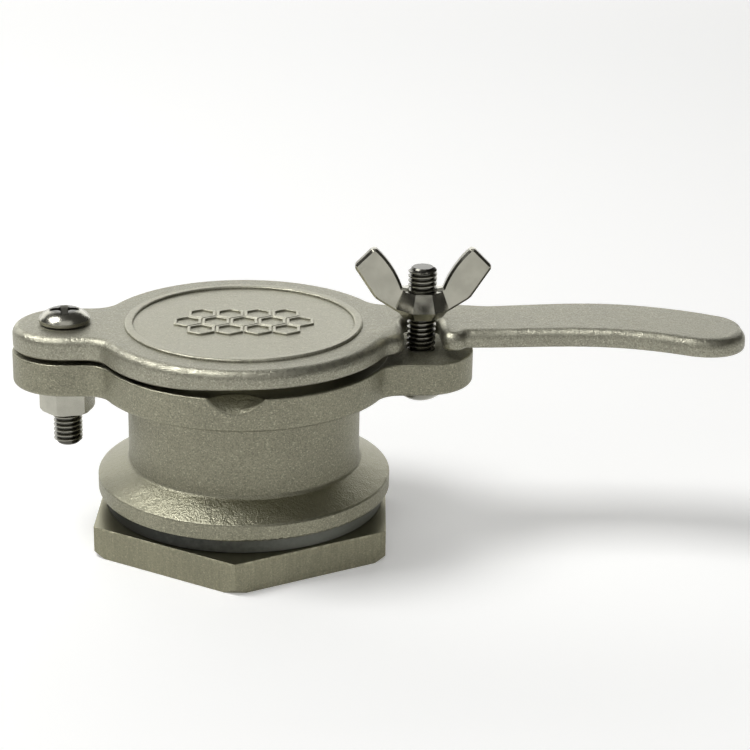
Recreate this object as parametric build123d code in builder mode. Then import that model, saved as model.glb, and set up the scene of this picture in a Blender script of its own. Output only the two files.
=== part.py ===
from build123d import *
import os
from math import sqrt

os.makedirs("parts", exist_ok=True)

# Tank end: bore, threaded spigot and collar
bore_radius = 19.0
spigot_radius = 23.9
spigot_length = 9.8
spigot_chamfer = 0.8
collar_inset = 0.05
collar_rim = 3.5
collar_cone_height = 3.3
collar_edge_radius = 0.5
neck_radius = 24.2
neck_length = 16.5
neck_blend = 1.2

# Flange and its two ears
flange_radius = 30.75
flange_thickness = 6.9
ear_radius = 10.9
ear_beyond_flange = 6.05
ear_root_radius = 5.0
cast_edge_radius = 0.9
face_edge_radius = 0.3
lip_notch_radius = 9.5
lip_notch_depth = 3.1
lip_notch_run = 3.8
lip_notch_shift = -1.6
lip_notch_edge = 0.5

# Gate plate
gate_thickness = 3.8
gate_ear_radius = 10.7
gate_rim_gap = 1.8
pivot_pad_edge = 20.0
pivot_pad_run = 22.0
face_clearance = 0.2
land_radius = 24.2
gate_top_edge = 1.9
gate_bottom_edge = 0.8
ring_radius = 24.6
ring_width = 1.8
ring_height = 0.5
slot_clearance = 0.9
slot_depth = 5.0
slot_mouth_radius = 4.4
slot_nose_radius = 2.4
bridge_back = 13.1

# Lever, measured from the clamp screw's axis and the gate's centre line
lever_root = 9.5
lever_length = 66.5
lever_front = 5.9
lever_front_hollow = 4.0
lever_front_drop = 16.0
lever_front_corner = 9.8
lever_back = 12.0
lever_back_bulge = 2.2
lever_back_drop = 11.1
lever_back_corner = 6.0
lever_back_step = 5.5
lever_heel_radius = 1.5
lever_crown = 1.4
lever_tip_rise = 0.7
lever_tip_slope = -0.08

# Six-millimetre fasteners
screw_radius = 3.0
thread_clearance = 0.05
pivot_clearance = 0.08
screw_end_chamfer = 0.6
pivot_screw_length = 26.5
pivot_head_radius = 5.25
pivot_head_height = 2.7
pivot_head_rim = 0.9
pivot_head_flat = 1.9
clamp_screw_length = 24.6
clamp_head_radius = 5.5
clamp_head_height = 4.3
clamp_head_rim = 1.4
clamp_head_flat = 0.6
hex_nut_width = 10.0
hex_nut_height = 5.0
hex_nut_turn = 12.5
hex_nut_chamfer = 0.5
washer_radius = 6.0
washer_thickness = 0.5
lock_washer_radius = 5.7
lock_washer_thickness = 1.3
lock_washer_gap = 1.0
lock_washer_slant = 30.0

# Wing nut, its wings measured from its axis and its foot
wing_lift = 1.6
wing_hub_radius = 5.9
wing_hub_sides = 8
wing_hub_foot = 1.9
wing_hub_foot_taper = 35.0
wing_hub_height = 5.6
wing_hub_taper = 20.0
wing_root_height = 6.2
wing_root_overlap = 0.8
wing_root_reach = 4.2
wing_foot_reach = 4.6
wing_foot_rise = 0.5
wing_belly_reach = 9.9
wing_belly_height = 3.9
wing_belly_radius = 4.0
wing_bulge = 0.5
wing_reach = 14.3
wing_shoulder_height = 10.7
wing_height = 14.9
wing_tip_width = 4.2
wing_corner_radius = 1.0
wing_thickness = 2.4
wing_bevel = 0.5

# Mounting nut and tank gasket
mount_nut_wall = 6.02
mount_nut_height = 6.7
mount_nut_turn = 27.0
mount_nut_chamfer = 1.2
spigot_clearance = 0.08
gasket_bore_clearance = 0.3
gasket_width = 5.0
gasket_gap = 0.1

# Radii that follow from these, and levels counted up from the spigot's open end
collar_radius = flange_radius - collar_inset
collar_top = spigot_length + collar_rim
cone_top = collar_top + collar_cone_height
flange_bottom = cone_top + neck_length
flange_top = flange_bottom + flange_thickness
washer_top = flange_top + washer_thickness
gate_bottom = flange_top + gate_rim_gap
pivot_pad_bottom = washer_top + face_clearance
gate_top = gate_bottom + gate_thickness
ear_offset = flange_radius + ear_beyond_flange
slot_radius = screw_radius + slot_clearance
fastener_bore = screw_radius + thread_clearance
mount_nut_bore = spigot_radius + spigot_clearance
gasket_bore = spigot_radius + gasket_bore_clearance


def side_plane(x, z):
    """The upright plane through the bore's axis, with its origin moved to x and z."""
    return Plane(origin=(x, 0, z), x_dir=(1, 0, 0), z_dir=(0, -1, 0))


def upright_axis(x):
    """The vertical axis at x."""
    return Axis((x, 0, 0), (0, 0, 1))


def domed_screw_profile(length, head_radius, head_height, head_rim, head_flat):
    """Half the section of a domed screw, its head's flat at the origin and its shank below."""
    with BuildSketch() as profile:
        with BuildLine():
            Polyline(
                (head_flat, head_height),
                (0, head_height),
                (0, -length),
                (screw_radius - screw_end_chamfer, -length),
                (screw_radius, -length + screw_end_chamfer),
                (screw_radius, 0),
                (head_radius, 0),
                (head_radius, head_rim),
            )
            TangentArc((head_flat, head_height), (head_radius, head_rim), tangent=(1, 0))
        make_face()
    return profile.sketch


# Valve body: one casting, with the flange and ears, the neck, the collar and the spigot
notch_slope = lip_notch_depth / lip_notch_run
notch_foot = (lip_notch_shift, -flange_radius, flange_top - lip_notch_depth)
notch_plane = Plane(
    origin=Vector(*notch_foot) + (0, 0, lip_notch_radius * sqrt(1 + notch_slope**2)),
    x_dir=(1, 0, 0),
    z_dir=(0, 1, notch_slope),
)
with BuildPart() as valve_body:
    with BuildSketch(Plane.XY.offset(flange_bottom)) as flange_outline:
        Circle(flange_radius)
        SlotCenterToCenter(2 * ear_offset, 2 * ear_radius)
        roots = flange_outline.vertices().filter_by(lambda v: abs(v.X) < flange_radius)
        fillet(roots, ear_root_radius)
    extrude(amount=flange_thickness)
    fillet(valve_body.faces().sort_by(Axis.Z)[0].edges(), cast_edge_radius)

    with BuildSketch(Plane.XZ) as wall:
        with BuildLine():
            Polyline(
                (0, 0),
                (spigot_radius - spigot_chamfer, 0),
                (spigot_radius, spigot_chamfer),
                (spigot_radius, spigot_length),
                (collar_radius, spigot_length),
                (collar_radius, collar_top),
                (neck_radius, cone_top),
                (neck_radius, flange_bottom),
                (neck_radius + 2 * neck_blend, flange_bottom),
                (neck_radius + 2 * neck_blend, flange_top),
                (0, flange_top),
                close=True,
            )
        make_face()
        neck_ends = wall.vertices().filter_by(lambda v: abs(v.X - neck_radius) < 0.01)
        fillet(neck_ends, neck_blend)
        collar_edges = wall.vertices().filter_by(lambda v: abs(v.X - collar_radius) < 0.01)
        fillet(collar_edges, collar_edge_radius)
    revolve(axis=Axis.Z)

    with Locations((0, 0, flange_top)):
        Hole(bore_radius)
    with Locations((-ear_offset, 0, flange_top), (ear_offset, 0, flange_top)):
        Hole(fastener_bore)

    # Lip notch in the flange's front edge, sloping up and out before the sealing face
    with BuildSketch(notch_plane):
        Circle(lip_notch_radius)
    extrude(amount=lip_notch_run + lip_notch_radius, both=True, mode=Mode.SUBTRACT)
    notch_edge = valve_body.edges().sort_by_distance(notch_foot)[0]
    fillet(notch_edge, lip_notch_edge)
    face_rim = valve_body.faces().sort_by(Axis.Z)[-1].outer_wire().edges()
    fillet(face_rim, face_edge_radius)

# Gate: one casting, with the round lid, the pivot ear, the slotted clamp ear and the lever
slot_left = ear_offset - slot_radius
slot_right = ear_offset + slot_radius
slot_centre = slot_depth - slot_radius
lever_start = ear_offset + lever_root
lever_tip = ear_offset + lever_length
lever_middle = (lever_start + lever_tip) / 2
front_corner = (lever_tip, -lever_front - lever_front_drop)
back_corner = (lever_tip, lever_back - lever_back_drop)
back_step = (lever_start + lever_back_step, lever_back)
nose_point = (slot_right, -sqrt(gate_ear_radius**2 - slot_radius**2))
heel_point = (ear_offset + sqrt(gate_ear_radius**2 - lever_front**2), -lever_front)

with BuildSketch() as gate_outline:
    SlotCenterToCenter(2 * ear_offset, 2 * gate_ear_radius)
    with BuildLine():
        Polyline(
            (lever_start, -lever_front),
            (0, -lever_front),
            (0, bridge_back),
            (lever_start, bridge_back),
            back_step,
        )
        ThreePointArc(back_step, (lever_middle, lever_back - lever_back_bulge), back_corner)
        Line(back_corner, front_corner)
        ThreePointArc(
            front_corner,
            (lever_middle, -lever_front - lever_front_hollow),
            (lever_start, -lever_front),
        )
    make_face()

    # The slot opens to the front, and its lid side is rounded off
    with Locations((ear_offset, slot_centre)):
        Circle(slot_radius, mode=Mode.SUBTRACT)
    with BuildLine():
        Polyline(
            (slot_left - slot_mouth_radius, -gate_ear_radius),
            (slot_left - slot_mouth_radius, -2 * gate_ear_radius),
            (slot_right, -2 * gate_ear_radius),
            (slot_right, slot_centre),
            (slot_left, slot_centre),
            (slot_left, slot_mouth_radius - gate_ear_radius),
        )
        RadiusArc(
            (slot_left, slot_mouth_radius - gate_ear_radius),
            (slot_left - slot_mouth_radius, -gate_ear_radius),
            slot_mouth_radius,
        )
    make_face(mode=Mode.SUBTRACT)

    Circle(flange_radius)

with BuildPart() as gate:
    with BuildSketch(Plane.XY.offset(gate_bottom - lever_crown)):
        add(gate_outline.sketch)
    extrude(amount=gate_thickness + 3 * lever_crown)
    lid_roots = gate.edges().filter_by(Axis.Z).filter_by(
        lambda e: abs(sqrt(e.center().X ** 2 + e.center().Y ** 2) - flange_radius) < 0.01
    )
    fillet(lid_roots, ear_root_radius)
    for corner, radius in (
        (nose_point, slot_nose_radius),
        (heel_point, lever_heel_radius),
        (front_corner, lever_front_corner),
        (back_corner, lever_back_corner),
        ((lever_start, bridge_back), lever_back_step),
        (back_step, lever_back_step),
    ):
        upright = gate.edges().filter_by(Axis.Z).sort_by_distance((*corner, gate_top))[0]
        fillet(upright, radius)

    # The plate thickens to a pad at the pivot, and the lever rises in a low arch and dips to its tip
    with BuildSketch(Plane.XZ):
        with BuildLine():
            arch = [
                (lever_start, gate_bottom),
                (lever_middle, gate_bottom + lever_crown),
                (lever_tip, gate_bottom + lever_tip_rise),
            ]
            upper_arch = [(x, z + gate_thickness) for x, z in arch]
            pad_edge = (-pivot_pad_edge, pivot_pad_bottom)
            pad_end = (pivot_pad_run - pivot_pad_edge, gate_bottom)
            Polyline(
                upper_arch[0],
                (-2 * ear_offset, gate_top),
                (-2 * ear_offset, pivot_pad_bottom),
                pad_edge,
            )
            Spline(pad_edge, pad_end, tangents=[(1, 0), (1, 0)])
            Line(pad_end, arch[0])
            Spline(arch, tangents=[(1, 0), (1, lever_tip_slope)])
            Line(arch[-1], upper_arch[-1])
            Spline(upper_arch, tangents=[(1, 0), (1, lever_tip_slope)])
        make_face()
    extrude(amount=2 * ear_offset, both=True, mode=Mode.INTERSECT)

    seams = gate.edges().filter_by(Axis.Y).filter_by_position(
        Axis.X, lever_start - 0.01, lever_start + 0.01
    )
    rims = gate.edges().filter_by(Axis.Z, reverse=True) - seams
    fillet(rims.filter_by(lambda e: e.center().Z > gate_top - 0.01), gate_top_edge)
    lower_rim = gate.edges().filter_by(Axis.Z, reverse=True).filter_by_position(
        Axis.Z, pivot_pad_bottom - 0.01, gate_bottom + lever_crown + 0.01
    )
    for seam in (-pivot_pad_edge, pivot_pad_run - pivot_pad_edge, lever_start):
        lower_rim = lower_rim - gate.edges().filter_by(Axis.Y).filter_by_position(
            Axis.X, seam - 0.01, seam + 0.01
        )
    fillet(lower_rim, gate_bottom_edge)

    # Sealing land under the lid, and the raised ring on top
    with BuildSketch(Plane.XY.offset(flange_top + face_clearance)):
        Circle(land_radius)
    extrude(amount=gate_rim_gap + gate_bottom_edge - face_clearance)
    with BuildSketch(Plane.XZ) as ring_section:
        with Locations((ring_radius - ring_width / 2, gate_top)):
            Rectangle(ring_width, 2 * ring_height)
        ring_top = ring_section.vertices().filter_by(lambda v: v.Y > gate_top)
        fillet(ring_top, ring_height * 0.9)
    revolve(axis=Axis.Z)

    with Locations((-ear_offset, 0, gate_top)):
        Hole(screw_radius + pivot_clearance)

# Pivot screw, washer between the ears, spring washer with one slanted cut, and nut
pivot_profile = domed_screw_profile(
    pivot_screw_length, pivot_head_radius, pivot_head_height, pivot_head_rim, pivot_head_flat
)
with BuildPart() as pivot_screw:
    with BuildSketch(side_plane(-ear_offset, gate_top + face_clearance)):
        add(pivot_profile)
    revolve(axis=upright_axis(-ear_offset))

with BuildPart() as pivot_washer:
    with BuildSketch(Plane.XY.offset(flange_top)):
        with Locations((-ear_offset, 0)):
            Circle(washer_radius)
            Circle(fastener_bore, mode=Mode.SUBTRACT)
    extrude(amount=washer_thickness)

lock_washer_cut = Location(
    (
        -ear_offset,
        -(lock_washer_radius + fastener_bore) / 2,
        flange_bottom - lock_washer_thickness / 2,
    ),
    (0, lock_washer_slant, 0),
)
with BuildPart() as lock_washer:
    with BuildSketch(Plane.XY.offset(flange_bottom - lock_washer_thickness)):
        with Locations((-ear_offset, 0)):
            Circle(lock_washer_radius)
            Circle(fastener_bore, mode=Mode.SUBTRACT)
    extrude(amount=lock_washer_thickness)
    with Locations(lock_washer_cut):
        Box(lock_washer_gap, lock_washer_radius, 3 * lock_washer_thickness, mode=Mode.SUBTRACT)

hex_nut_corner = hex_nut_width / sqrt(3)
hex_nut_top = flange_bottom - lock_washer_thickness
hex_nut_bottom = hex_nut_top - hex_nut_height
with BuildPart() as pivot_nut:
    with BuildSketch(Plane.XY.offset(hex_nut_bottom)):
        with Locations((-ear_offset, 0)):
            RegularPolygon(hex_nut_corner, 6, rotation=hex_nut_turn)
            Circle(fastener_bore, mode=Mode.SUBTRACT)
    extrude(amount=hex_nut_height)
    with BuildSketch(side_plane(-ear_offset, 0)):
        with BuildLine():
            Polyline(
                (0, hex_nut_bottom),
                (hex_nut_corner - hex_nut_chamfer, hex_nut_bottom),
                (hex_nut_corner, hex_nut_bottom + hex_nut_chamfer),
                (hex_nut_corner, hex_nut_top - hex_nut_chamfer),
                (hex_nut_corner - hex_nut_chamfer, hex_nut_top),
                (0, hex_nut_top),
                close=True,
            )
        make_face()
    revolve(axis=upright_axis(-ear_offset), mode=Mode.INTERSECT)

# Clamp screw, put in from below
clamp_profile = domed_screw_profile(
    clamp_screw_length, clamp_head_radius, clamp_head_height, clamp_head_rim, clamp_head_flat
)
with BuildPart() as clamp_screw:
    with BuildSketch(
        Plane(origin=(ear_offset, 0, flange_bottom), x_dir=(1, 0, 0), z_dir=(0, 1, 0))
    ):
        add(clamp_profile)
    revolve(axis=upright_axis(ear_offset))

# Wing nut: one wing bevelled all round and mirrored, on an eight-sided hub
wing_bottom = gate_top + wing_lift
wing_root = (wing_root_reach, wing_root_height)
wing_tip = (wing_reach - wing_tip_width, wing_height)
wing_middle = (
    (wing_root[0] + wing_tip[0]) / 2 - wing_bulge,
    (wing_root[1] + wing_tip[1]) / 2 + wing_bulge,
)
with BuildPart() as wing_nut:
    with BuildSketch(side_plane(ear_offset, wing_bottom)) as wing:
        with BuildLine():
            Polyline(
                wing_root,
                (0, wing_root_height - wing_root_overlap),
                (0, wing_foot_rise),
                (wing_foot_reach, wing_foot_rise),
                (wing_belly_reach, wing_belly_height),
                (wing_reach, wing_shoulder_height),
                wing_tip,
            )
            ThreePointArc(wing_tip, wing_middle, wing_root)
        make_face()
        belly = wing.vertices().sort_by_distance((wing_belly_reach, wing_belly_height, 0))[0]
        fillet(belly, wing_belly_radius)
        shoulders = wing.vertices().filter_by(lambda v: v.Y > wing_root_height + wing_bevel)
        fillet(shoulders, wing_corner_radius)
    extrude(amount=wing_thickness / 2, both=True)
    wing_edges = wing_nut.faces().filter_by(Axis.Y).edges()
    chamfer(wing_edges.filter_by(lambda e: e.center().X > ear_offset + 0.1), wing_bevel)
    mirror(about=Plane.YZ.offset(ear_offset))
    with BuildSketch(Plane.XY.offset(wing_bottom + wing_hub_foot)) as hub:
        with Locations((ear_offset, 0)):
            RegularPolygon(wing_hub_radius, wing_hub_sides, rotation=180 / wing_hub_sides)
    extrude(hub.sketch, amount=wing_hub_height - wing_hub_foot, taper=wing_hub_taper)
    extrude(hub.sketch, amount=-wing_hub_foot, taper=wing_hub_foot_taper)
    with Locations((ear_offset, 0, wing_bottom + wing_height)):
        Hole(fastener_bore)

# Mounting nut, its lower corners turned down, and the gasket between it and the collar
mount_nut_corner = 2 * (mount_nut_bore + mount_nut_wall) / sqrt(3)
with BuildPart() as mounting_nut:
    with BuildSketch():
        RegularPolygon(mount_nut_corner, 6, rotation=mount_nut_turn)
        Circle(mount_nut_bore, mode=Mode.SUBTRACT)
    extrude(amount=mount_nut_height)
    with BuildSketch(Plane.XZ):
        with BuildLine():
            Polyline(
                (0, 0),
                (mount_nut_corner - mount_nut_chamfer, 0),
                (mount_nut_corner, mount_nut_chamfer),
                (mount_nut_corner, mount_nut_height),
                (0, mount_nut_height),
                close=True,
            )
        make_face()
    revolve(axis=Axis.Z, mode=Mode.INTERSECT)

with BuildPart() as tank_gasket:
    with BuildSketch(Plane.XY.offset(mount_nut_height + gasket_gap)):
        Circle(gasket_bore + gasket_width)
        Circle(gasket_bore, mode=Mode.SUBTRACT)
    extrude(amount=spigot_length - mount_nut_height - 2 * gasket_gap)

pieces = {
    "valve_body": valve_body,
    "gate": gate,
    "pivot_screw": pivot_screw,
    "pivot_washer": pivot_washer,
    "lock_washer": lock_washer,
    "pivot_nut": pivot_nut,
    "clamp_screw": clamp_screw,
    "wing_nut": wing_nut,
    "mounting_nut": mounting_nut,
    "tank_gasket": tank_gasket,
}
for name, piece in pieces.items():
    piece.part.label = name
    export_step(piece.part, f"parts/{name}.step")
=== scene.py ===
"""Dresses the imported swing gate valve: cast and turned steel finishes, rolled threads, screw
recesses and a raised comb on the lid, on a pale floor in soft light. Lengths are in metres."""

from math import atan, cos, pi, radians, sin, sqrt

import bmesh
import bpy
from mathutils import Matrix, Vector


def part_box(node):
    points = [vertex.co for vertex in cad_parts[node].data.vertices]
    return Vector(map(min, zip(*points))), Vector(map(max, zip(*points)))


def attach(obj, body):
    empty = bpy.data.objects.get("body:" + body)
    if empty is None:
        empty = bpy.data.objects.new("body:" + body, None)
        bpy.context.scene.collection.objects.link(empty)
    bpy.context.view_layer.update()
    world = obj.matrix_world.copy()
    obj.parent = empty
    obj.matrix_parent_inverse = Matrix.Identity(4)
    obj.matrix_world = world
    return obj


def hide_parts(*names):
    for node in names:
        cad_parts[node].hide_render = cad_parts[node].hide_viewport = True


bl_info = {
    "name": "Swing Gate Valve",
    "version": (1, 0, 0),
    "blender": (4, 5, 0),
    "location": "3D View > Sidebar > Valve",
    "description": "Dresses a cast swing gate valve with its finishes, threads and stage",
    "category": "Object",
}

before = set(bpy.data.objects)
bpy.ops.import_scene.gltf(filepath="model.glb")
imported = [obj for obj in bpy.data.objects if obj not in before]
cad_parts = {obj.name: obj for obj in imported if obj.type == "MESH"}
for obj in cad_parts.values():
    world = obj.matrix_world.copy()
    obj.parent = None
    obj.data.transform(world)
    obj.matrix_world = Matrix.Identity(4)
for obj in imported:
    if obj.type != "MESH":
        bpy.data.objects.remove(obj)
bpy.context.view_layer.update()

SCREW_RADIUS = 0.003  # both screws, at the thread's crest
PIVOT_HEAD = {"radius": 0.00525, "height": 0.0027, "rim": 0.0009, "flat": 0.0019}
CLAMP_HEAD = {"radius": 0.0055, "height": 0.0043, "rim": 0.0014, "flat": 0.0006}
LID_TOP = 0.0456  # height of the flat disc inside the lid's raised ring
LID_DISC = 0.0227  # radius of that disc
LATHE_RINGS = 5200.0  # turned rings in a metre, before their finer detail
SKIN_RELIEF = 2.2  # full height of a casting's bumps, in depths of a pit


def centre(node):
    """The middle of a CAD node's box."""
    low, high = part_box(node)
    return (low + high) / 2


# ---------------------------------------------------------------- settings


class CastingSettings(bpy.types.PropertyGroup):
    """The blasted castings."""

    body_colour: bpy.props.FloatVectorProperty(
        name="Body colour",
        description="Colour of the valve body's blasted steel",
        subtype="COLOR",
        default=(0.318, 0.308, 0.23),
        min=0.0,
        max=1.0,
    )
    gate_colour: bpy.props.FloatVectorProperty(
        name="Gate colour",
        description="Colour of the gate's blasted steel",
        subtype="COLOR",
        default=(0.385, 0.375, 0.298),
        min=0.0,
        max=1.0,
    )
    roughness: bpy.props.FloatProperty(
        name="Roughness",
        description="How dull the blasted skin is",
        default=0.46,
        min=0.0,
        max=1.0,
    )
    grain: bpy.props.FloatProperty(
        name="Grain",
        description="Width of one pit of the blasted skin",
        default=0.00045,
        min=0.0001,
        max=0.01,
        unit="LENGTH",
    )
    grain_depth: bpy.props.FloatProperty(
        name="Grain depth",
        description="Depth of the pits",
        default=0.00011,
        min=0.0,
        max=0.001,
        unit="LENGTH",
    )
    thread_pitch: bpy.props.FloatProperty(
        name="Spigot thread pitch",
        description="Rise of the spigot's thread in one turn",
        default=0.002309,
        min=0.0005,
        max=0.01,
        unit="LENGTH",
    )


class FastenerSettings(bpy.types.PropertyGroup):
    """The screws, nuts and washers."""

    colour: bpy.props.FloatVectorProperty(
        name="Bright steel",
        description="Colour of the screws and the small nut",
        subtype="COLOR",
        default=(0.46, 0.45, 0.385),
        min=0.0,
        max=1.0,
    )
    wing_colour: bpy.props.FloatVectorProperty(
        name="Wing nut steel",
        description="Colour of the wing nut's tumbled steel",
        subtype="COLOR",
        default=(0.4, 0.39, 0.33),
        min=0.0,
        max=1.0,
    )
    nut_colour: bpy.props.FloatVectorProperty(
        name="Mounting nut steel",
        description="Colour of the large nut's satin steel",
        subtype="COLOR",
        default=(0.315, 0.303, 0.215),
        min=0.0,
        max=1.0,
    )
    pitch: bpy.props.FloatProperty(
        name="Thread pitch",
        description="Rise of the screws' thread in one turn",
        default=0.001,
        min=0.0002,
        max=0.005,
        unit="LENGTH",
    )
    thread_depth: bpy.props.FloatProperty(
        name="Thread depth",
        description="Height of the thread from its root to its crest",
        default=0.0006,
        min=0.0001,
        max=0.002,
        unit="LENGTH",
    )
    recess: bpy.props.FloatProperty(
        name="Recess width",
        description="Width of the cross recess from tip to tip",
        default=0.0066,
        min=0.001,
        max=0.02,
        unit="LENGTH",
    )


class LidSettings(bpy.types.PropertyGroup):
    """The raised comb on the lid."""

    cell: bpy.props.FloatProperty(
        name="Cell pitch",
        description="Distance from one comb cell to the next",
        default=0.0058,
        min=0.001,
        max=0.02,
        unit="LENGTH",
    )
    wall: bpy.props.FloatProperty(
        name="Cell wall",
        description="Width of the raised line round a cell",
        default=0.0007,
        min=0.0001,
        max=0.005,
        unit="LENGTH",
    )
    height: bpy.props.FloatProperty(
        name="Relief",
        description="Height of the comb above the lid",
        default=0.00035,
        min=0.00005,
        max=0.002,
        unit="LENGTH",
    )


class StageSettings(bpy.types.PropertyGroup):
    """The floor, the gasket's colour and the lights."""

    floor_colour: bpy.props.FloatVectorProperty(
        name="Floor",
        description="Colour of the floor",
        subtype="COLOR",
        default=(0.93, 0.93, 0.92),
        min=0.0,
        max=1.0,
    )
    glow: bpy.props.FloatVectorProperty(
        name="Backdrop white",
        description="White that the camera and the metal see in the floor besides its lit colour",
        subtype="COLOR",
        default=(0.25, 0.25, 0.25),
        min=0.0,
        max=1.0,
    )
    gasket_colour: bpy.props.FloatVectorProperty(
        name="Gasket",
        description="Colour of the tank gasket's rubber",
        subtype="COLOR",
        default=(0.15, 0.155, 0.135),
        min=0.0,
        max=1.0,
    )
    light: bpy.props.FloatProperty(
        name="Light",
        description="Strength of all the lamps, where 1 is plain studio light",
        default=1.0,
        min=0.0,
        max=10.0,
    )


# ---------------------------------------------------------------- materials


class Value:
    """A shader number that can be used in sums: each operator adds a Math node."""

    def __init__(self, finish, socket):
        self.finish = finish
        self.socket = socket

    def __add__(self, other):
        return self.finish.math("ADD", self, other)

    def __sub__(self, other):
        return self.finish.math("SUBTRACT", self, other)

    def __rsub__(self, other):
        return self.finish.math("SUBTRACT", other, self)

    def __mul__(self, other):
        return self.finish.math("MULTIPLY", self, other)

    def __truediv__(self, other):
        return self.finish.math("DIVIDE", self, other)

    __radd__ = __add__
    __rmul__ = __mul__


class Finish:
    """A material with a Principled shader, and short ways to feed it."""

    def __init__(self, name, colour, roughness, metallic=1.0):
        self.material = bpy.data.materials.new(name)
        self.material.use_nodes = True
        self.tree = self.material.node_tree
        self.shader = self.tree.nodes["Principled BSDF"]
        self.shader.inputs["Base Color"].default_value = (*colour, 1.0)
        self.shader.inputs["Roughness"].default_value = roughness
        self.shader.inputs["Metallic"].default_value = metallic
        self.place = self.node("ShaderNodeTexCoord").outputs["Object"]

    def node(self, kind, settings=None, sockets=None):
        """A node of this kind, with its settings made first and then its sockets."""
        made = self.tree.nodes.new(kind)
        for key, value in (settings or {}).items():
            setattr(made, key, value)
        for key, value in (sockets or {}).items():
            self.put(made.inputs[key], value)
        return made

    def put(self, socket, value):
        """Links a value, a socket or a plain number to a node's socket."""
        if isinstance(value, Value):
            value = value.socket
        if isinstance(value, bpy.types.NodeSocket):
            self.tree.links.new(value, socket)
        else:
            socket.default_value = value

    def feed(self, name, value):
        """Links or sets one of the shader's sockets."""
        self.put(self.shader.inputs[name], value)

    def math(self, operation, *values):
        """The result of a Math node."""
        made = self.node("ShaderNodeMath", {"operation": operation}, dict(enumerate(values)))
        return Value(self, made.outputs[0])

    def axes(self):
        """The place's three coordinates."""
        split = self.node("ShaderNodeSeparateXYZ", sockets={0: self.place})
        return [Value(self, out) for out in split.outputs]

    def reach(self, x, y):
        """The distance from the upright axis."""
        return self.math("SQRT", x * x + y * y)

    def uprightness(self):
        """The height of the surface's normal: 1 on top, 0 on an upright side."""
        facing = self.node("ShaderNodeTexCoord").outputs["Normal"]
        return Value(self, self.node("ShaderNodeSeparateXYZ", sockets={0: facing}).outputs[2])

    def noise(self, size, detail=2.0, rough=0.5, stretch=(1.0, 1.0, 1.0)):
        """Noise whose features are about this size, stretched along the axes if asked."""
        mapping = self.node("ShaderNodeMapping", sockets={0: self.place, "Scale": stretch})
        made = self.node(
            "ShaderNodeTexNoise",
            sockets={
                "Vector": mapping.outputs[0],
                "Scale": 1.0 / size,
                "Detail": detail,
                "Roughness": rough,
            },
        )
        return Value(self, made.outputs[0])

    def cells(self, size):
        """Distance to the nearest of scattered points, from 0 to about 1."""
        made = self.node(
            "ShaderNodeTexVoronoi", sockets={"Vector": self.place, "Scale": 1.0 / size}
        )
        return Value(self, made.outputs["Distance"])

    def step(self, value, low, high):
        """0 below low, 1 above high, smooth between."""
        made = self.node(
            "ShaderNodeMapRange",
            {"interpolation_type": "SMOOTHSTEP"},
            {"Value": value, "From Min": low, "From Max": high},
        )
        return Value(self, made.outputs["Result"])

    def blend(self, factor, first, second):
        """A colour between two, each a link or three numbers."""
        made = self.node("ShaderNodeMix", {"data_type": "RGBA"}, {"Factor": factor})
        for key, colour in (("A", first), ("B", second)):
            plain = not isinstance(colour, bpy.types.NodeSocket)
            self.put(made.inputs[key], (*colour, 1.0) if plain else colour)
        return made.outputs["Result"]

    def mix(self, factor, first, second):
        """A number between two."""
        return first + (second - first) * factor

    def relief(self, height, distance):
        """Bumps the surface by a height from 0 to 1 times distance."""
        made = self.node("ShaderNodeBump", sockets={"Height": height, "Distance": distance})
        self.feed("Normal", made.outputs[0])


def shade(colour, factor):
    """A colour made darker or lighter."""
    return tuple(min(1.0, part * factor) for part in colour)


def blasted_casting(
    name, colour, settings, machined=None, thread=None, wear_and_highlight=None, streaks=0.0
):
    """Blasted cast steel.

    machined and thread each give a mask and a height, and wear_and_highlight gives a mask of wear
    rubbed bright and of painted highlights. streaks, from 0 to 1, draws the skin out into upright
    saw marks.
    """
    dimple, patch, pit_gap = 0.0019, 0.014, 0.0026
    made = Finish(name, colour, settings.roughness)
    x, y, z = made.axes()
    fine = made.noise(settings.grain, 3.0, 0.65)
    speck = made.noise(settings.grain * 0.75, 2.0)
    coarse = made.noise(dimple, 2.0)
    patches = made.noise(patch, 3.0, 0.55)
    pits = made.step(made.cells(pit_gap), 0.03, 0.17)
    tone = made.step(patches, 0.3, 0.72)
    skin = made.blend(tone, shade(colour, 0.9), shade(colour, 1.07))
    dark = made.blend(0.42, skin, shade(colour, 0.3))
    skin = made.blend(made.step(speck, 0.32, 0.62), dark, skin)
    glint = made.step(made.noise(settings.grain * 0.9, 2.0, 0.5, (1.0, 1.0, 1.3)), 0.56, 0.7)
    skin = made.blend(glint, skin, shade(colour, 1.35))
    rough = settings.roughness - 0.1 + 0.14 * patches + 0.1 * fine
    height = 0.6 * fine + 0.55 * coarse + 0.12 * pits
    if streaks:
        cuts = made.noise(settings.grain, 2.0, 0.6, (1.0, 1.0, 0.06))
        height = made.mix(0.5 * streaks, height, cuts)
        even = made.blend(tone, shade(colour, 0.86), shade(colour, 1.04))
        skin = made.blend(streaks, skin, even)
        dark = made.blend(0.16, skin, shade(colour, 0.35))
        skin = made.blend(made.step(cuts, 0.4, 0.65), dark, skin)
    if wear_and_highlight:
        mask = wear_and_highlight(made, x, y, z)
        # lightens the masked skin: wear rubbed bright, and a painted highlight on slopes and tops
        skin = made.blend(mask, skin, shade(colour, 1.22))
        rough = made.mix(mask, rough, rough - 0.14)
    if machined:
        mask, lathe = machined(made, x, y, z)
        skin = made.blend(mask, skin, shade(colour, 1.05))
        rough = made.mix(mask, rough, 0.3 + 0.06 * lathe)
        height = made.mix(mask, height, 0.07 * lathe)
    if thread:
        mask, turns = thread(made, x, y, z)
        rough = made.mix(mask, rough, 0.3)
        height = made.mix(mask, height, turns)
    made.feed("Base Color", skin)
    made.feed("Roughness", rough)
    made.relief(height, settings.grain_depth * SKIN_RELIEF)
    return made.material


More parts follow.
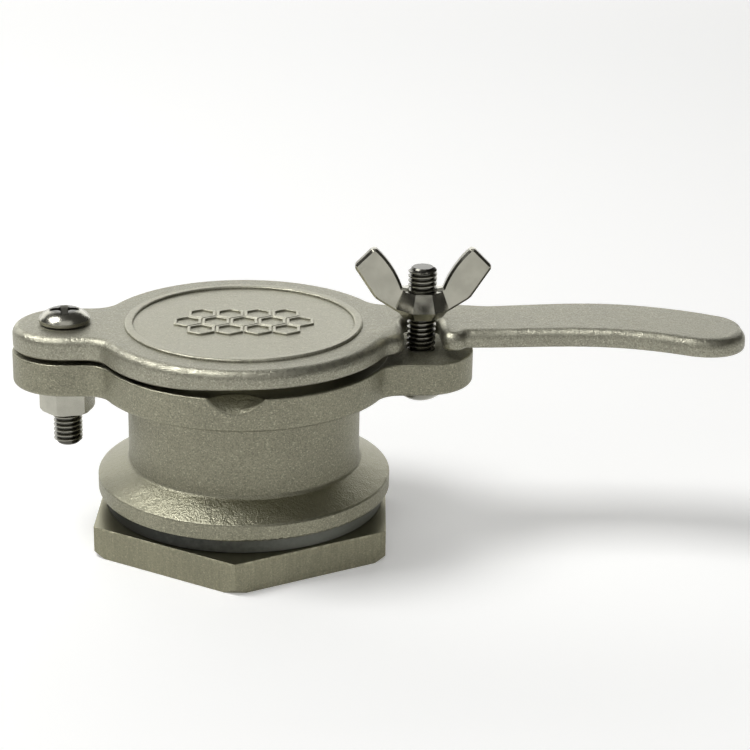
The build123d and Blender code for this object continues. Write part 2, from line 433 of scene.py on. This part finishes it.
def worn_and_lit_slopes(made):
    """1 on rounded edges and slopes that face partly upward: wear rubbed bright by handling, and
    a painted highlight.
    """
    upright = made.uprightness()
    return made.step(upright, 0.3, 0.6) * made.step(upright, 0.97, 0.9)


def lathe_marks(made, x, y, z):
    """Fine turned rings about the upright axis."""
    rings = made.node(
        "ShaderNodeTexNoise",
        {"noise_dimensions": "1D"},
        {"W": made.reach(x, y) + z, "Scale": LATHE_RINGS, "Detail": 2.0},
    )
    return Value(made, rings.outputs[0])


def new_piece(name, mesh, body, finish, slot, *stands_for):
    """Puts a bmesh into the scene as a piece that rides on a body."""
    data = bpy.data.meshes.new(name)
    mesh.to_mesh(data)
    mesh.free()
    piece = bpy.data.objects.new(name, data)
    bpy.context.scene.collection.objects.link(piece)
    data.materials.append(finish)
    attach(piece, body)
    if stands_for:
        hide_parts(*stands_for)
    return piece


def paint(node, material):
    """Gives a CAD node a finish in all its slots."""
    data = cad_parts[node].data
    if not data.materials:
        data.materials.append(material)
    for index in range(len(data.materials)):
        data.materials[index] = material


# ---------------------------------------------------------------- castings


class VALVE_OT_castings(bpy.types.Operator):
    """Finishes the valve body, the gate and the mounting nut in blasted steel"""

    bl_idname = "valve.castings"
    bl_label = "Finish castings"

    def execute(self, context):
        settings = context.scene.valve_castings
        flange_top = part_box("valve_body")[1].z
        bore = 0.019
        flange_edge = 0.03

        def turned_body(made, x, y, z):
            """The sealing face, the spigot's end and the bore."""
            reach = made.reach(x, y)
            top = made.step(z, flange_top - 0.00012, flange_top - 0.00004)
            top = top * made.step(reach, flange_edge + 0.0002, flange_edge)
            end = made.step(z, 0.0001, 0.00002)
            inside = made.step(reach, bore + 0.0004, bore + 0.0001)
            turned = made.math("MAXIMUM", made.math("MAXIMUM", top, end), inside)
            return turned, lathe_marks(made, x, y, z)

        def spigot_thread(made, x, y, z):
            """The rolled thread on the spigot's outside, below the collar."""
            depth = 0.0012
            turn = made.math("ARCTAN2", y, x) / (2 * pi)
            phase = made.math("FRACT", z / settings.thread_pitch - turn + 4.0)
            wave = made.math("ABSOLUTE", phase - 0.5) * 2.0
            outside = made.step(made.reach(x, y), 0.0232, 0.0235)
            below = made.step(z, 0.0097, 0.0094)
            return outside * below, wave * (depth / (settings.grain_depth * SKIN_RELIEF))

        def worn_and_lit_body(made, x, y, z):
            # wear and a painted highlight on the body's rounded edges and slopes, the collar's
            # cone among them
            return 0.7 * worn_and_lit_slopes(made)

        body = blasted_casting(
            "blasted_body_steel",
            settings.body_colour,
            settings,
            machined=turned_body,
            thread=spigot_thread,
            wear_and_highlight=worn_and_lit_body,
        )
        paint("valve_body", body)

        def turned_gate(made, x, y, z):
            """The sealing land on the gate's underside."""
            land = made.step(z, flange_top + 0.0012, flange_top + 0.0011)
            return land, lathe_marks(made, x, y, z)

        def worn_and_lit_gate(made, x, y, z):
            """Wear rubbed bright and a painted highlight: slopes in patches, and the flat tops,
            most of all the lid's disc and ring.
            """
            reach = made.reach(x, y)
            disc = made.step(reach, LID_DISC, LID_DISC - 0.0004)
            raised = made.step(z, LID_TOP + 0.00012, LID_TOP + 0.0003)
            raised = raised * made.step(reach, LID_DISC + 0.0023, LID_DISC + 0.002)
            nicks = made.step(made.noise(0.003, 3.0, 0.6), 0.36, 0.58)
            # painted highlight on every upward-facing flat, with wear rubbed bright on the lid's
            # disc and raised tops
            flats = 0.2 * made.step(made.uprightness(), 0.9, 0.97)
            flats = flats + 0.3 * disc + 0.4 * raised
            return made.math("MAXIMUM", worn_and_lit_slopes(made) * nicks, flats)

        gate = blasted_casting(
            "blasted_gate_steel",
            settings.gate_colour,
            settings,
            machined=turned_gate,
            wear_and_highlight=worn_and_lit_gate,
        )
        paint("gate", gate)

        nut_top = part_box("mounting_nut")[1].z

        def turned_nut(made, x, y, z):
            """Both flat faces."""
            top = made.step(z, nut_top - 0.00008, nut_top - 0.00003)
            bottom = made.step(z, 0.00008, 0.00003)
            return made.math("MAXIMUM", top, bottom), lathe_marks(made, x, y, z)

        def worn_nut(made, x, y, z):
            """The upper edge, in patches."""
            edge = made.step(z, nut_top - 0.0007, nut_top - 0.0002)
            return edge * made.step(made.noise(0.0016, 3.0, 0.7), 0.46, 0.6)

        nut = blasted_casting(
            "satin_nut_steel",
            context.scene.valve_fasteners.nut_colour,
            settings,
            machined=turned_nut,
            wear_and_highlight=worn_nut,
            streaks=0.4,
        )
        paint("mounting_nut", nut)
        return {"FINISHED"}


# ---------------------------------------------------------------- fasteners


def bright_steel(name, colour, roughness, axes=(), root=0.0, waves=0.0):
    """Tumbled steel, wavy if cast, with a darker threaded shank about each axis (an x)."""
    made = Finish(name, colour, roughness)
    x, y, z = made.axes()
    stain = made.noise(0.004, 3.0)
    scratch = made.noise(0.0004, 2.0, 0.6, (1.0, 1.0, 6.0))
    skin = made.blend(made.step(stain, 0.35, 0.7), shade(colour, 0.9), shade(colour, 1.06))
    for axis in axes:
        reach = made.reach(x - axis, y)
        shank = made.step(reach, root + 0.00085, root + 0.00075)
        skin = made.blend(shank, skin, shade(colour, 0.62))
        # dirt and painted shade: darker towards each thread's root and down inside the head's
        # recess
        groove_dirt_and_shade = made.step(reach, root + 0.0006, root + 0.0001)
        skin = made.blend(groove_dirt_and_shade, skin, shade(colour, 0.2))
    made.feed("Base Color", skin)
    made.feed("Roughness", roughness - 0.05 + 0.1 * stain + 0.06 * scratch)
    made.relief(0.02 * scratch + waves * made.noise(0.006, 1.0), 0.0003)
    return made.material


def revolved(profile, steps=64):
    """A closed shape made by spinning a profile of (radius, height) about the upright axis."""
    mesh = bmesh.new()
    points = [mesh.verts.new((reach, 0.0, height)) for reach, height in profile]
    lines = [mesh.edges.new(pair) for pair in zip(points, points[1:])]
    bmesh.ops.spin(
        mesh,
        geom=points + lines,
        cent=(0, 0, 0),
        axis=(0, 0, 1),
        dvec=(0, 0, 0),
        angle=2 * pi,
        steps=steps,
        use_merge=True,
    )
    bmesh.ops.remove_doubles(mesh, verts=mesh.verts, dist=1e-6)
    bmesh.ops.recalc_face_normals(mesh, faces=mesh.faces)
    return mesh


def dome(radius, height, rim, flat, count=9):
    """Points of a flat-topped dome from its middle out to the rim, as (radius, height)."""
    rise = height - rim
    spread = radius - flat
    sphere = (spread**2 + rise**2) / (2 * rise)
    full = 2 * atan(rise / spread)
    turns = [full * index / count for index in range(count + 1)]
    arc = [(flat + sphere * sin(turn), height - sphere * (1 - cos(turn))) for turn in turns]
    return [(0.0, height), *arc]


def cross_cutter(width, depth, top):
    """A tapered cross with a round middle that cuts the screwdriver's recess."""
    mesh = bmesh.new()
    rise = width * 0.05  # how far the cutter stands out of the head
    for turn in (0, pi / 2):
        made = bmesh.ops.create_cube(mesh, size=1.0)["verts"]
        bmesh.ops.scale(mesh, vec=(width, width * 0.25, depth + rise), verts=made)
        low = [vert for vert in made if vert.co.z < 0]  # narrower at the bottom
        bmesh.ops.scale(mesh, vec=(0.42, 0.6, 1.0), verts=low)
        bmesh.ops.rotate(mesh, verts=made, cent=(0, 0, 0), matrix=Matrix.Rotation(turn, 3, "Z"))
    bmesh.ops.create_cone(
        mesh,
        cap_ends=True,
        segments=24,
        radius1=width * 0.1,
        radius2=width * 0.24,
        depth=(depth + rise) * 0.99,
    )
    bmesh.ops.translate(mesh, vec=(0, 0, top + rise - (depth + rise) / 2), verts=mesh.verts)
    return mesh


def cut(mesh, cutter):
    """The mesh with the cutter taken out of it."""
    objects = []
    for part in (mesh, cutter):
        data = bpy.data.meshes.new("cutting")
        part.to_mesh(data)
        part.free()
        objects.append(bpy.data.objects.new("cutting", data))
        bpy.context.scene.collection.objects.link(objects[-1])
    tool = objects[0].modifiers.new("recess", "BOOLEAN")
    tool.operation = "DIFFERENCE"
    tool.solver = "EXACT"
    tool.use_self = True
    tool.object = objects[1]
    graph = bpy.context.evaluated_depsgraph_get()
    done = bpy.data.meshes.new_from_object(objects[0].evaluated_get(graph))
    result = bmesh.new()
    result.from_mesh(done)
    used = [item.data for item in objects]
    for item in objects:
        bpy.data.objects.remove(item)
    for data in (*used, done):
        bpy.data.meshes.remove(data)
    return result


def add_thread(mesh, crest, depth, pitch, low, high, per_turn=28):
    """Adds one closed helical ridge round the shank between two heights."""
    sunk = 0.00008  # how far the ridge reaches into the shank
    root = crest - depth - sunk
    turns = (high - low - pitch) / pitch
    outline = [(root, 0.0), (root, 0.94 * pitch), (crest, 0.56 * pitch), (crest, 0.38 * pitch)]
    points = [mesh.verts.new((reach, 0.0, low + height)) for reach, height in outline]
    tooth = mesh.faces.new(points)
    steps = int(turns * per_turn)
    bmesh.ops.spin(
        mesh,
        geom=[tooth, *tooth.edges, *points],
        cent=(0, 0, 0),
        axis=(0, 0, 1),
        dvec=(0, 0, pitch / per_turn),
        angle=2 * pi * steps / per_turn,
        steps=steps,
    )


def screw_mesh(length, head, settings):
    """A screw that hangs from its head's flat at the origin, with its thread and recess."""
    chamfer, runout, tip, lead = 0.0002, 0.0004, 0.0003, 0.0007
    recess_depth = 0.0024
    root = SCREW_RADIUS - settings.thread_depth
    profile = dome(**head)
    profile += [(head["radius"], chamfer), (head["radius"] - chamfer, 0.0)]
    profile += [(SCREW_RADIUS, 0.0), (root, -runout)]
    profile += [(root, -length + tip), (root - tip, -length), (0.0, -length)]
    mesh = cut(revolved(profile), cross_cutter(settings.recess, recess_depth, head["height"]))
    add_thread(mesh, SCREW_RADIUS, settings.thread_depth, settings.pitch, -length, -runout / 2)
    for vert in mesh.verts:  # the thread grows from nothing over its lead
        reach = vert.co.xy.length
        grown = max(0.0, min(1.0, (vert.co.z + length) / lead))
        limit = root + grown * settings.thread_depth
        if vert.co.z < lead - length and reach > limit:
            vert.co.xy *= limit / reach
    bmesh.ops.remove_doubles(mesh, verts=mesh.verts, dist=1e-7)
    bmesh.ops.recalc_face_normals(mesh, faces=mesh.faces)
    return mesh


def soften(piece, angle=32):
    """Shades a piece smooth, with its sharp edges kept."""
    for face in piece.data.polygons:
        face.use_smooth = True
    piece.data.set_sharp_from_angle(angle=radians(angle))


class VALVE_OT_fasteners(bpy.types.Operator):
    """Makes both threaded screws, and finishes the nuts and washers"""

    bl_idname = "valve.fasteners"
    bl_label = "Make fasteners"

    def execute(self, context):
        settings = context.scene.valve_fasteners
        ears = [centre(node).x for node in ("pivot_screw", "clamp_screw")]
        root = SCREW_RADIUS - settings.thread_depth
        threaded = bright_steel("threaded_screw_steel", settings.colour, 0.2, ears, root)
        for node, head, turn in (
            ("pivot_screw", PIVOT_HEAD, Matrix.Rotation(radians(5), 3, "Z")),
            ("clamp_screw", CLAMP_HEAD, Matrix.Rotation(pi, 3, "X")),
        ):
            low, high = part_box(node)
            middle = centre(node)
            mesh = screw_mesh(high.z - low.z - head["height"], head, settings)
            bmesh.ops.rotate(mesh, verts=mesh.verts, cent=(0, 0, 0), matrix=turn)
            # the pivot screw has its head on top, and the clamp screw stands on its head
            head_down = node == "clamp_screw"
            seat = low.z + head["height"] if head_down else high.z - head["height"]
            bmesh.ops.translate(mesh, vec=(middle.x, middle.y, seat), verts=mesh.verts)
            name = node + "_threaded"
            soften(new_piece(name, mesh, "valve", threaded, "fastener_steel", node))

        steel = bright_steel("plated_nut_steel", shade(settings.colour, 0.92), 0.2)
        for node in ("pivot_nut", "pivot_washer", "lock_washer"):
            paint(node, steel)
        wings = bright_steel("tumbled_wing_steel", settings.wing_colour, 0.17, waves=3.0)
        paint("wing_nut", wings)
        return {"FINISHED"}


# ---------------------------------------------------------------- lid and gasket


class VALVE_OT_comb(bpy.types.Operator):
    """Raises a patch of comb cells on the lid"""

    bl_idname = "valve.comb"
    bl_label = "Raise comb on lid"

    def execute(self, context):
        settings = context.scene.valve_lid
        sunk = 0.0001  # how far the walls reach into the lid
        gap = 0.00008  # half of the gap between two cells' walls
        mesh = bmesh.new()
        row = settings.cell * sqrt(3) / 2
        places = [(index * settings.cell, 0.0) for index in range(-2, 3)]
        for index in range(-2, 2):
            places += [((index + 0.5) * settings.cell, side * row) for side in (-1, 1)]
        for x, y in places:
            made = bmesh.ops.create_circle(
                mesh, segments=6, radius=settings.cell / sqrt(3) - gap, cap_ends=True
            )["verts"]
            bmesh.ops.translate(mesh, vec=(x, y, LID_TOP - sunk), verts=made)
        middles = list(mesh.faces)
        bmesh.ops.inset_individual(
            mesh, faces=middles, thickness=settings.wall, use_even_offset=True
        )
        bmesh.ops.delete(mesh, geom=middles, context="FACES_ONLY")
        raised = bmesh.ops.extrude_face_region(mesh, geom=list(mesh.faces))["geom"]
        tops = [item for item in raised if isinstance(item, bmesh.types.BMVert)]
        bmesh.ops.translate(mesh, vec=(0, 0, settings.height + sunk), verts=tops)
        upper = [edge for edge in mesh.edges if all(vert in tops for vert in edge.verts)]
        bmesh.ops.bevel(
            mesh,
            geom=upper,
            offset=settings.wall * 0.28,
            affect="EDGES",
            segments=3,
            profile=0.5,
            material=-1,
            clamp_overlap=True,
        )
        bmesh.ops.recalc_face_normals(mesh, faces=mesh.faces)
        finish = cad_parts["gate"].data.materials[0]
        soften(new_piece("lid_comb", mesh, "swing_gate", finish, "gate_casting"), 50)
        return {"FINISHED"}


class VALVE_OT_gasket(bpy.types.Operator):
    """Finishes the tank gasket in dull rubber, with painted shade on its left and painted light
    on its right
    """

    bl_idname = "valve.gasket"
    bl_label = "Finish gasket"

    def execute(self, context):
        colour = context.scene.valve_stage.gasket_colour
        made = Finish("dull_gasket_rubber", colour, 0.6, 0.0)
        made.shader.inputs["Specular IOR Level"].default_value = 0.2
        mottle = made.noise(0.0012, 4.0, 0.6)
        # painted shade on the gasket's left side fading into painted light on its right side
        painted_side_light = made.step(made.axes()[0] + 0.02 * mottle, -0.012, 0.03)
        made.feed("Base Color", made.blend(painted_side_light, shade(colour, 0.22), shade(colour, 1.5)))
        made.feed("Roughness", 0.5 + 0.2 * mottle)
        made.relief(made.noise(0.0004, 3.0), 0.00001)
        paint("tank_gasket", made.material)
        return {"FINISHED"}


# ---------------------------------------------------------------- stage


def look(eye, target, roll=0.0):
    """A matrix that stands at eye and looks at target, turned by roll about the line of sight."""
    turn = (Vector(target) - Vector(eye)).to_track_quat("-Z", "Y").to_matrix().to_4x4()
    return Matrix.Translation(eye) @ turn @ Matrix.Rotation(roll, 4, "Z")


def softbox(name, eye, target, width, height, radiance):
    """A rectangular area lamp that shows this radiance at its face."""
    data = bpy.data.lights.new(name, "AREA")
    data.shape = "RECTANGLE"
    data.size, data.size_y = width, height
    data.energy = radiance * width * height * pi
    lamp = bpy.data.objects.new(name, data)
    lamp.matrix_world = look(eye, target)
    bpy.context.scene.collection.objects.link(lamp)


def studio_world(light):
    """Dim warm light from all sides, with a white backdrop above the floor for the lens."""
    world = bpy.data.worlds.new("studio")
    world.use_nodes = True
    nodes, links = world.node_tree.nodes, world.node_tree.links
    back = nodes["Background"]
    direction = nodes.new("ShaderNodeTexCoord").outputs["Generated"]
    split = nodes.new("ShaderNodeSeparateXYZ")
    links.new(direction, split.inputs[0])
    upward = split.outputs[2]
    path = nodes.new("ShaderNodeLightPath").outputs

    def ramp(value, low, high, full=1.0):
        """Goes from low, where value is 0, to high, where it is full. Both may be links."""
        made = nodes.new("ShaderNodeMapRange")
        made.interpolation_type = "SMOOTHSTEP"
        made.inputs["From Max"].default_value = full
        links.new(value, made.inputs["Value"])
        for name, end in (("To Min", low), ("To Max", high)):
            if isinstance(end, float):
                made.inputs[name].default_value = end
            else:
                links.new(end, made.inputs[name])
        return made.outputs["Result"]

    # metal sees the white backdrop as a low band, and the lens sees it everywhere
    dim = 0.06 * light
    strength = ramp(upward, 0.25 * light, dim, 0.25)
    band = ramp(upward, 0.9, dim, 0.12)
    for ray in ("Is Glossy Ray", "Is Transmission Ray"):
        strength = ramp(path[ray], strength, band)
    strength = ramp(path["Is Camera Ray"], strength, 0.93)
    links.new(strength, back.inputs["Strength"])

    tint = nodes.new("ShaderNodeMix")
    tint.data_type = "RGBA"
    tint.inputs["A"].default_value = (1.0, 0.98, 0.9, 1.0)
    tint.inputs["B"].default_value = (1.0, 1.0, 0.99, 1.0)
    links.new(path["Is Camera Ray"], tint.inputs["Factor"])
    links.new(tint.outputs["Result"], back.inputs["Color"])
    return world


class VALVE_OT_stage(bpy.types.Operator):
    """Makes the floor, the soft lights, the world and the camera"""

    bl_idname = "valve.stage"
    bl_label = "Make stage"

    def execute(self, context):
        settings = context.scene.valve_stage
        scene = context.scene
        clearance = 0.00005
        floor = bmesh.new()
        bmesh.ops.create_circle(floor, segments=96, radius=6.0, cap_ends=True)
        bmesh.ops.translate(floor, vec=(0, 0, -clearance), verts=floor.verts)
        data = bpy.data.meshes.new("floor")
        floor.to_mesh(data)
        floor.free()
        ground = bpy.data.objects.new("floor", data)
        scene.collection.objects.link(ground)
        pale = Finish("pale_floor", settings.floor_colour, 0.9, 0.0)
        path = pale.node("ShaderNodeLightPath").outputs
        shown = pale.math("MAXIMUM", path["Is Camera Ray"], path["Is Glossy Ray"])
        shown = pale.math("MAXIMUM", shown, path["Is Transmission Ray"])
        x, y, _ = pale.axes()
        far = pale.step(pale.reach(x, y), 0.5, 2.4)
        white = pale.blend(far, settings.glow, shade(settings.floor_colour, 0.97))
        pale.feed("Emission Color", pale.blend(shown, (0, 0, 0), white))
        pale.feed("Emission Strength", 1.0)
        data.materials.append(pale.material)
        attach(ground, "hex")

        target = (0.02, 0.0, 0.03)
        for name, eye, width, height, radiance in (
            ("key_softbox", (-0.54, 0.0, 0.95), 0.46, 0.46, 11.6),
            ("back_softbox", (-0.25, 1.5, 0.64), 2.8, 0.9, 1.7),
            ("front_softbox", (-0.65, -1.4, 0.75), 1.9, 0.9, 0.4),
            ("top_softbox", (0.1, -0.8, 1.15), 1.1, 1.1, 0.6),
        ):
            softbox(name, eye, target, width, height, radiance * settings.light)
        scene.world = studio_world(settings.light)

        lens = bpy.data.cameras.new("camera")
        lens.sensor_width = 36.0
        lens.lens = 100.8
        lens.clip_start = 0.01
        camera = bpy.data.objects.new("camera", lens)
        # as fitted to the photograph's outlines
        eye, target, roll = (0.002515, -0.4122, 0.18452), (0.02733, 0.0, 0.03394), 1.084
        camera.matrix_world = look(eye, target, radians(roll))
        scene.collection.objects.link(camera)
        scene.camera = camera
        scene.view_settings.view_transform = "Standard"
        return {"FINISHED"}


class VALVE_PT_panel(bpy.types.Panel):
    """Lists the valve's settings and steps in the sidebar"""

    bl_idname = "VALVE_PT_panel"
    bl_label = "Swing Gate Valve"
    bl_space_type = "VIEW_3D"
    bl_region_type = "UI"
    bl_category = "Valve"

    def draw(self, context):
        scene = context.scene
        groups = (
            (scene.valve_castings, VALVE_OT_castings),
            (scene.valve_fasteners, VALVE_OT_fasteners),
            (scene.valve_lid, VALVE_OT_comb),
            (scene.valve_stage, VALVE_OT_gasket),
            (None, VALVE_OT_stage),
        )
        for settings, operator in groups:
            box = self.layout.box()
            for name in settings.__annotations__ if settings else ():
                box.prop(settings, name)
            box.operator(operator.bl_idname)


CLASSES = (
    CastingSettings,
    FastenerSettings,
    LidSettings,
    StageSettings,
    VALVE_OT_castings,
    VALVE_OT_fasteners,
    VALVE_OT_comb,
    VALVE_OT_gasket,
    VALVE_OT_stage,
    VALVE_PT_panel,
)
GROUPS = {
    "valve_castings": CastingSettings,
    "valve_fasteners": FastenerSettings,
    "valve_lid": LidSettings,
    "valve_stage": StageSettings,
}


def register():
    for item in CLASSES:
        bpy.utils.register_class(item)
    for name, group in GROUPS.items():
        setattr(bpy.types.Scene, name, bpy.props.PointerProperty(type=group))


def unregister():
    for name in GROUPS:
        delattr(bpy.types.Scene, name)
    for item in reversed(CLASSES):
        bpy.utils.unregister_class(item)


def main():
    register()
    bpy.ops.valve.castings()
    bpy.ops.valve.fasteners()
    bpy.ops.valve.comb()
    bpy.ops.valve.gasket()
    bpy.ops.valve.stage()


if __name__ == "__main__":
    main()
